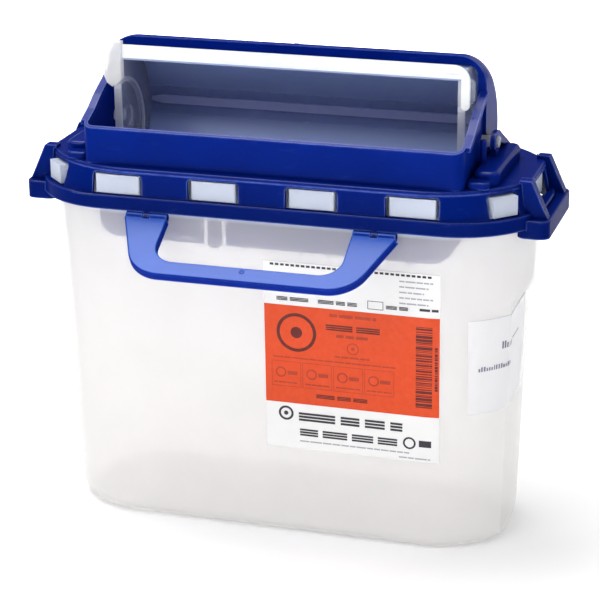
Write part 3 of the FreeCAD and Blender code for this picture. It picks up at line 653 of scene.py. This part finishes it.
def print_side_label(inks):
    """Short upright bars in three lines on the curved label at the tub's end."""
    skin = skin_of("side_label")
    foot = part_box("side_label")[0].z
    rng = random.Random(SIDE_SEED)
    axis_x = 85 * MM
    start_radius = 120 * MM

    def on_film(angle, height):
        """The point on the film at a height, seen at an angle from an axis inside the tub."""
        turn = math.radians(angle)
        out = Vector((math.cos(turn), math.sin(turn), 0.0))
        start = Vector((axis_x, 0.0, height)) + out * start_radius
        hit, _, _, _ = skin.ray_cast(start, -out)
        return None if hit is None else hit + out * FILM_LIFT

    points, faces = [], []
    # height above the label's foot, height of print, first and last angle in degrees
    lines = ((37.0, 4.4, -36.0, -25.0), (39.5, 1.8, -24.0, -6.0), (25.5, 2.8, -52.0, -26.0))
    for rise, size, first, last in lines:
        low = foot + rise * MM
        angle = first
        while angle < last:
            wide = rng.uniform(0.8, 1.5)
            high = low + size * rng.choice((0.7, 0.7, 1.0)) * MM
            corners = [
                on_film(angle, low), on_film(angle + wide, low),
                on_film(angle + wide, high), on_film(angle, high),
            ]
            if all(corner is not None for corner in corners):
                faces.append(list(range(len(points), len(points) + len(corners))))
                points += corners
            angle += wide + rng.uniform(0.5, 0.9)
    mesh_piece("side_label_print", points, faces, inks["side"], "container")


# ---------------------------------------------------------------- moulded marks

def raised_ring(name, centre, normal, material, body):
    """A small moulded ring with a dished middle and rounded shoulders, standing on a skin."""
    dish = 0.25 * MARK_HEIGHT
    profile = [
        (MARK_INNER * 0.25, dish), (MARK_INNER * 0.85, dish), (MARK_INNER, MARK_HEIGHT),
        (MARK_OUTER * 0.9, MARK_HEIGHT), (MARK_OUTER, 0.55 * MARK_HEIGHT),
        (MARK_OUTER * 1.12, -0.3 * MARK_HEIGHT),
    ]
    turn = Vector((0, 0, 1)).rotation_difference(normal)
    sides = 32
    verts, faces = [centre + normal * dish], []
    for radius, rise in profile:
        for i in range(sides):
            angle = math.tau * i / sides
            local = Vector((radius * math.cos(angle), radius * math.sin(angle), rise))
            verts.append(centre + turn @ local)
    for i in range(sides):
        following = (i + 1) % sides
        faces.append([0, 1 + i, 1 + following])
        for band in range(len(profile) - 1):
            a = 1 + band * sides
            b = a + sides
            faces.append([a + i, b + i, b + following, a + following])
    piece = mesh_piece(name, verts, faces, material, body)
    for polygon in piece.data.polygons:
        polygon.use_smooth = True


def moulded_marks(blue, handle):
    """Small round gate and ejector marks, each found by dropping a line onto its node."""
    handle_low, handle_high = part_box("carry_handle")
    deck_low, deck_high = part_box("lid_deck")
    hood_low, hood_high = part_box("rear_hood")
    pin_row = deck_high.y - 27 * MM
    spots = [
        ("handle_gate_mark", "carry_handle", "handle", handle,
         0.5 * (handle_low.x + handle_high.x), handle_low.y + 6 * MM),
        ("deck_pin_mark_left", "lid_deck", "container", blue, deck_low.x + 12 * MM, pin_row),
        ("deck_pin_mark_right", "lid_deck", "container", blue, deck_high.x - 6 * MM, pin_row),
        ("hood_gate_mark", "rear_hood", "container", blue, 0.0, hood_low.y + 7.5 * MM),
    ]
    start_height = hood_high.z + CAST_GAP
    for name, node, body, material, x, y in spots:
        start = Vector((x, y, start_height))
        hit, normal, _, _ = skin_of(node).ray_cast(start, Vector((0, 0, -1)))
        if hit is not None:
            raised_ring(name, hit, normal if normal.z >= 0 else -normal, material, body)


# ---------------------------------------------------------------- stage

def floor():
    """One large plane under everything, left out of the object."""
    half = FLOOR_SIZE / 2
    corners = [(-half, -half, 0), (half, -half, 0), (half, half, 0), (-half, half, 0)]
    mesh = bpy.data.meshes.new("studio_floor")
    mesh.from_pydata(corners, [], [(0, 1, 2, 3)])
    piece = bpy.data.objects.new("studio_floor", mesh)
    bpy.context.scene.collection.objects.link(piece)
    piece.data.materials.append(floor_surface())


def area_light(name, place, aim, size, power, spread):
    """A rectangular light that stands at place and points at aim."""
    data = bpy.data.lights.new(name, "AREA")
    data.shape = "RECTANGLE"
    data.size, data.size_y = size
    data.energy = power
    data.spread = math.radians(spread)
    light = bpy.data.objects.new(name, data)
    light.location = place
    light.rotation_mode = "QUATERNION"
    light.rotation_quaternion = (Vector(aim) - Vector(place)).to_track_quat("-Z", "Y")
    bpy.context.scene.collection.objects.link(light)


def lights():
    """The area lights, and an even white world."""
    for light in LIGHTS:
        area_light(*light)
    world = bpy.data.worlds.new("studio_world")
    world.use_nodes = True
    background = world.node_tree.nodes["Background"]
    background.inputs["Color"].default_value = (*WHITE, 1.0)
    background.inputs["Strength"].default_value = WORLD_STRENGTH
    bpy.context.scene.world = world


def camera():
    """Stands on the far end of a line from the target, turned a little about that line."""
    azimuth = math.radians(CAMERA_AZIMUTH)
    elevation = math.radians(CAMERA_ELEVATION)
    back = Vector((
        math.sin(azimuth) * math.cos(elevation),
        -math.cos(azimuth) * math.cos(elevation),
        math.sin(elevation),
    ))
    data = bpy.data.cameras.new("photo_camera")
    data.lens = CAMERA_LENS
    data.sensor_width = CAMERA_SENSOR
    data.clip_start, data.clip_end = CAMERA_CLIP
    eye = bpy.data.objects.new("photo_camera", data)
    eye.location = CAMERA_TARGET + back * CAMERA_DISTANCE
    aim = (-back).to_track_quat("-Z", "Y").to_matrix().to_4x4()
    roll = Matrix.Rotation(math.radians(CAMERA_ROLL), 4, "Z")
    eye.rotation_mode = "QUATERNION"
    eye.rotation_quaternion = (aim @ roll).to_quaternion()
    bpy.context.scene.collection.objects.link(eye)
    bpy.context.scene.camera = eye


# ---------------------------------------------------------------- putting it together

def paint():
    """Gives every CAD node its material, and returns the two that moulded marks share."""
    blue = blue_plastic("blue_plastic", BLUE, BLUE, BLUE_WEAR_AND_HIGHLIGHT, sheen=(0.03, 0.16),
                        shoulder_gloss=0.55, low_shade=0.55)
    for node in BLUE_NODES:
        dress(node, blue)
    # a lighter copy of the blue plastic: painted light on the chute inside the tub
    chute = blue_plastic("chute_plastic", CHUTE_LIT_BLUE, CHUTE_LIT_BLUE, BLUE_WEAR_AND_HIGHLIGHT, sheen=(0.03, 0.16))
    dress("inner_chute", chute)
    # the handle's navy plastic with a painted lit top and painted edge highlights
    handle = blue_plastic("handle_plastic", HANDLE_LIT_TOP, HANDLE_EDGE, HANDLE_WEAR_AND_HIGHLIGHT,
                          sheen=(0.64, 0.64), side_sheen=0.15)
    dress("carry_handle", handle)
    dress("container_tub", tub_plastic())
    # the trough in painted shade, tinted with the hood's blue light
    dress("tray_trough", tray_plastic("trough_plastic", 0.77, TROUGH_HOOD_SHADE, milky_floor))
    plate = tray_plastic("plate_plastic", 0.74, TRAY_WHITE, milky_ring)
    pin = tray_plastic("pin_plastic", 0.60, TRAY_WHITE)
    for side in ("left", "right"):
        dress("tray_end_" + side, plate)
        dress("pivot_pin_" + side, pin)
    dress("tray_thumb_tab", tray_plastic("tab_plastic", 0.30, TAB_WHITE))
    # the bar in painted shade
    dress("counterbalance_bar", tray_plastic("bar_plastic", 0.45, BAR_SHADE))
    dress("tray_lip", lip_plastic())
    dress("front_label", label_film("label_film", FILM))
    dress("side_label", label_film("side_label_film", SIDE_FILM))
    return blue, handle


def render_settings():
    """Plain colours, and enough bounces for light to cross the translucent walls."""
    scene = bpy.context.scene
    scene.view_settings.view_transform = "Standard"
    scene.cycles.diffuse_bounces = 8
    scene.cycles.transmission_bounces = 16
    scene.cycles.transparent_max_bounces = 16


def main():
    blue, handle = paint()
    inks = {
        "orange": ink("orange_ink", ORANGE, 0.05),
        "on_orange": ink("panel_ink", INK_ON_ORANGE),
        "faint": ink("faint_panel_ink", INK_FAINT),
        "black": ink("black_ink", INK),
        "grey": ink("grey_ink", INK_GREY),
        "side": ink("side_ink", INK_SIDE),
    }
    print_front_label(inks)
    print_side_label(inks)
    moulded_marks(blue, handle)
    floor()
    lights()
    camera()
    render_settings()


main()
